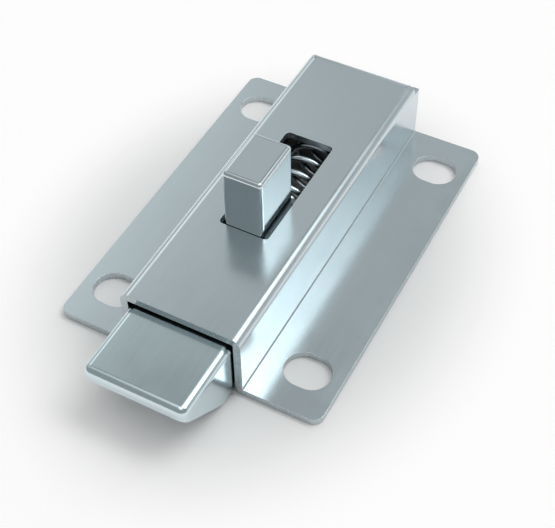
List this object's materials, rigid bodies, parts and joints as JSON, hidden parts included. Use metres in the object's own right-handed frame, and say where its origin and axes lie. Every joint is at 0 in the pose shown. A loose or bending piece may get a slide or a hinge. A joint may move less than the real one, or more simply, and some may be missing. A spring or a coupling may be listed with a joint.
{
  "type": "slide bolt",
  "caption": "Spring-loaded slide bolt: bevelled bar in a folded sheet housing with side flanges, drawn back by a rectangular thumb piece.",
  "frame": {"origin": "centre of the rectangle of fixing slots, on the mounting plane under the flanges", "axes": "+Z away from the mounting surface, +Y along the slide towards the rear end, so the bolt's nose points along -Y; +X to the right seen from the nose with the knob up"},
  "size_m": [0.054, 0.0903, 0.028],
  "materials": {
    "housing_sheet": "satin rolled stainless sheet, folded, edges lightly broken",
    "bolt_bar": "ground and polished stainless bar",
    "knob_bar": "ground and polished stainless bar",
    "screw_steel": "plain stainless, turned",
    "spring_wire": "drawn stainless spring wire",
    "stud_steel": "plain stainless, turned and riveted"
  },
  "bodies": {
    "housing": {"housing": "housing_sheet", "spring_stud": "stud_steel", "spring": "spring_wire"},
    "bolt": {"bolt": "bolt_bar", "knob": "knob_bar", "knob_screw": "screw_steel"}
  },
  "joints": [
    {"name": "bolt_slide", "type": "slide", "parent": "housing", "child": "bolt", "axis": [0, 1, 0], "range_m": [0, 0.015], "stiffness_N_per_m": 2100, "springref_m": -0.003, "deforming": ["spring"]}
  ]
}
